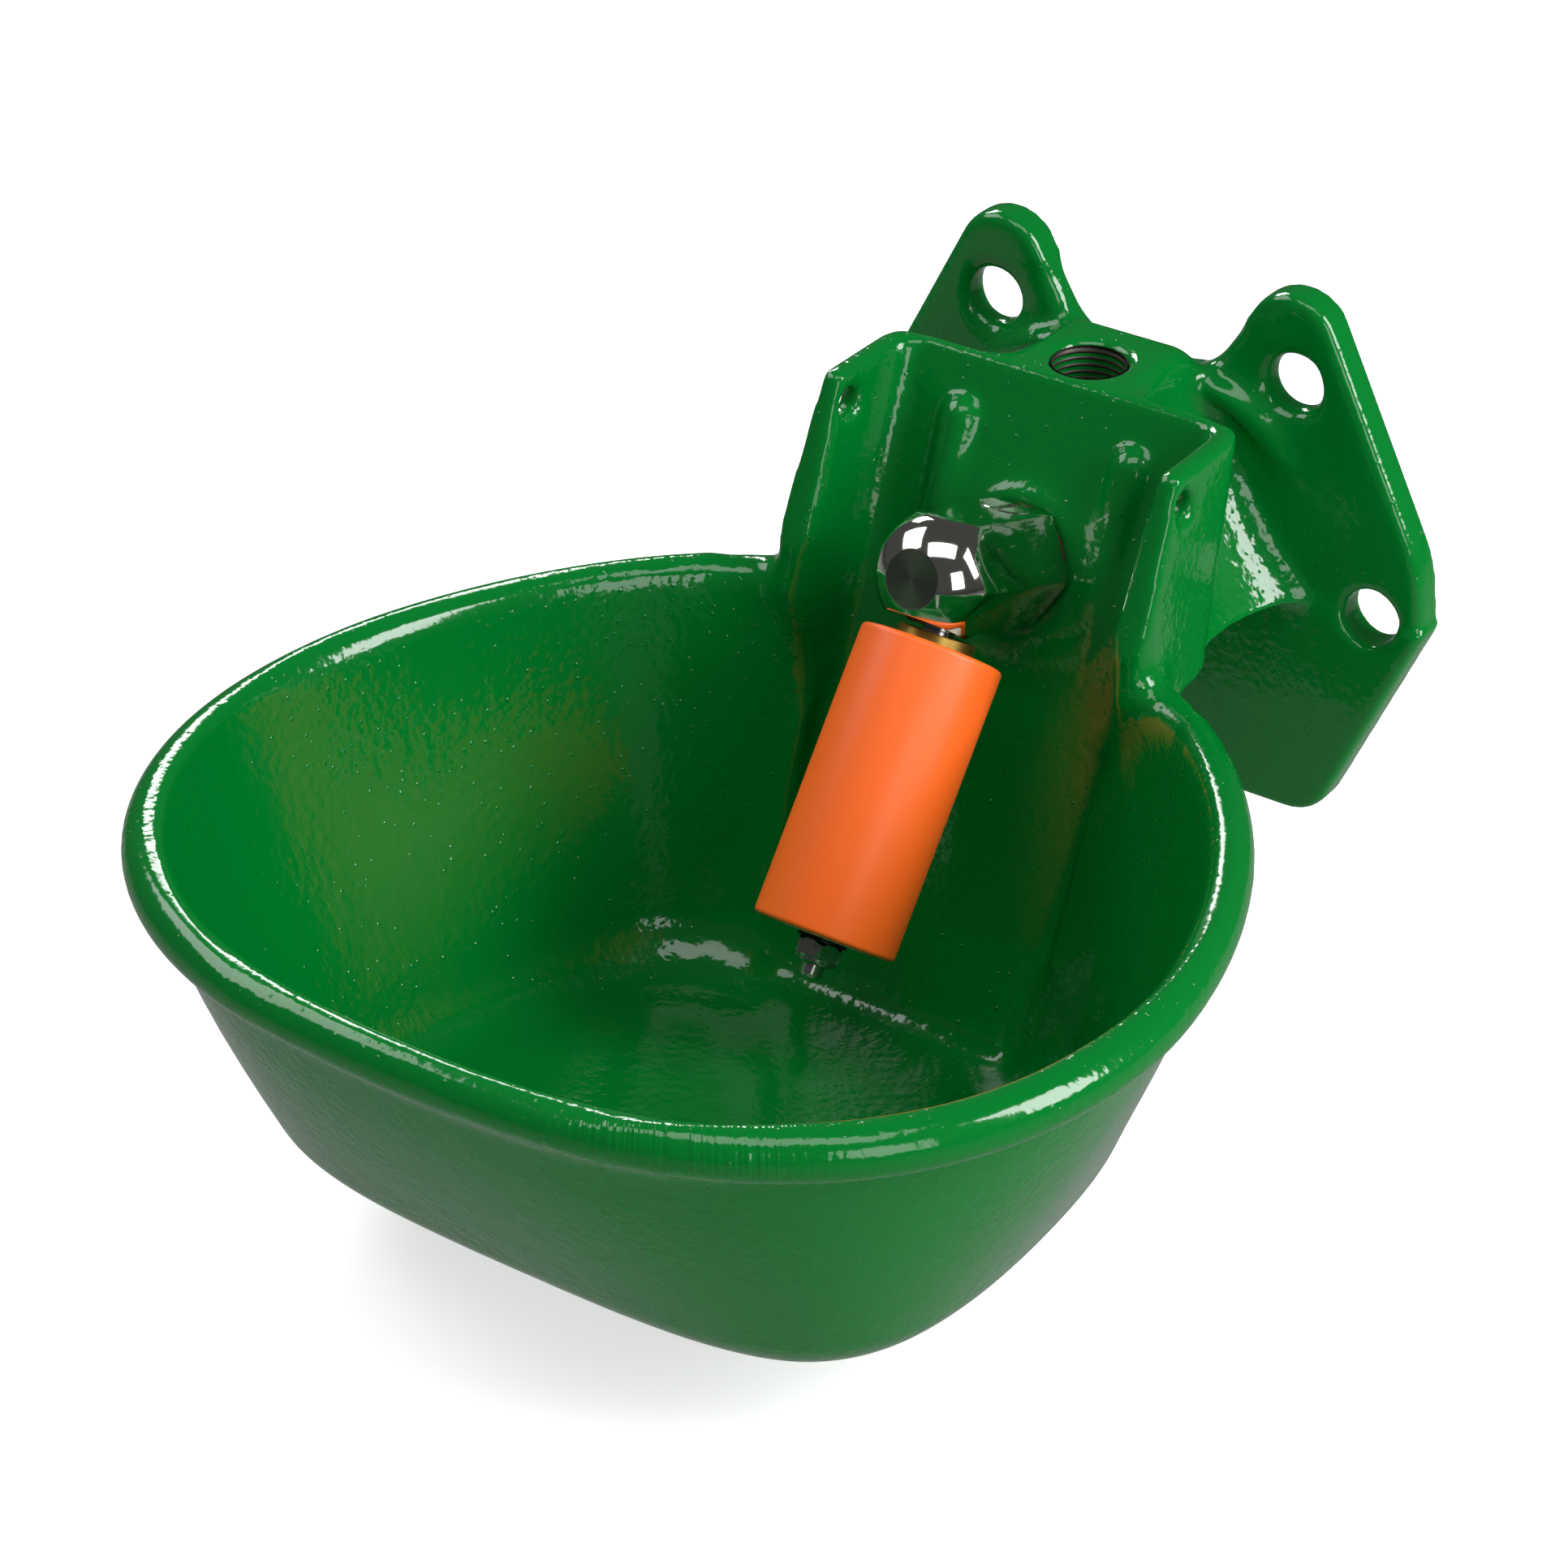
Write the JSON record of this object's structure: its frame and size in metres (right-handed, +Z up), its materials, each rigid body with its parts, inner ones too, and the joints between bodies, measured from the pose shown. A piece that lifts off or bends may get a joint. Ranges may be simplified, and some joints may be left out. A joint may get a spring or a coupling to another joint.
{
  "type": "livestock drinking bowl",
  "caption": "Wall-mounted cast-iron drinking bowl with a rear pocket and a muzzle-operated tube valve under an orange sleeve.",
  "frame": {"origin": "On the wall, in the flange's back face, midway between the two lower fixing holes.", "axes": "X to the right seen from the front, Y into the wall, Z up."},
  "size_m": [0.2535, 0.3085, 0.1725],
  "materials": {
    "green_enamelled_iron": "gloss enamel over as-cast iron",
    "nickel_plated_brass": "bright nickel plate on turned brass",
    "vulcanised_fibre": "pressed fibre",
    "turned_brass": "turned",
    "black_nitrile": "moulded, satin",
    "stainless_steel": "machined",
    "spring_steel": "drawn wire",
    "white_acetal": "moulded",
    "drawn_brass_tube": "drawn, fine lengthwise grain",
    "orange_plastic": "extruded, satin",
    "dark_steel": "blackened",
    "blue_nylon": "moulded"
  },
  "bodies": {
    "casting_and_housing": {"bowl_casting": "green_enamelled_iron", "valve_housing": "nickel_plated_brass", "housing_gasket": "vulcanised_fibre", "seat_insert": "turned_brass", "seat_o_ring": "black_nitrile", "stem_guide": "white_acetal", "inlet_strainer": "stainless_steel", "strainer_ring": "spring_steel"},
    "valve_stem_group": {"valve_stem": "stainless_steel", "seal_disc": "black_nitrile", "stem_washer": "stainless_steel", "closing_spring": "spring_steel"},
    "flow_screw_group": {"flow_screw": "nickel_plated_brass", "flow_screw_o_ring": "black_nitrile"},
    "pivot_cage_group": {"pivot_cage": "turned_brass", "pivot_pin": "stainless_steel"},
    "push_rod_group": {"push_rod": "stainless_steel", "push_tube": "drawn_brass_tube", "tube_top_plug": "white_acetal", "tube_end_plug": "white_acetal", "snap_ring": "spring_steel", "sleeve_washer": "dark_steel", "lock_nut": "stainless_steel", "lock_nut_insert": "blue_nylon"},
    "roller_sleeve_group": {"roller_sleeve": "orange_plastic", "upper_bush": "white_acetal", "lower_bush": "white_acetal"}
  },
  "joints": [
    {"name": "cage_swing", "type": "hinge", "parent": "casting_and_housing", "child": "pivot_cage_group", "pos_m": [0, -0.0655, 0.0198], "axis": [0, -0.9435, 0.3313], "range_deg": [-6, 6]},
    {"name": "rod_push", "type": "hinge", "parent": "pivot_cage_group", "child": "push_rod_group", "pos_m": [0, -0.08546, 0.03211], "axis": [1, 0, 0], "range_deg": [0, 14], "stiffness_Nm_per_rad": 1, "springref_deg": -6.88},
    {"name": "sleeve_spin", "type": "hinge", "parent": "push_rod_group", "child": "roller_sleeve_group", "pos_m": [0, -0.08546, 0.03211], "axis": [0, -0.6191, -0.7853], "continuous": true},
    {"name": "stem_slide", "type": "slide", "parent": "casting_and_housing", "child": "valve_stem_group", "axis": [0, 0.9435, -0.3313], "range_m": [0, 0.0012]},
    {"name": "flow_screw_turn", "type": "hinge", "parent": "casting_and_housing", "child": "flow_screw_group", "pos_m": [0, -0.07447, 0.02295], "axis": [0, 0.3313, 0.9435], "continuous": true}
  ],
  "couplings": [
    {"joint": "stem_slide", "follows": "rod_push", "m_per_rad": 0.0042}
  ]
}
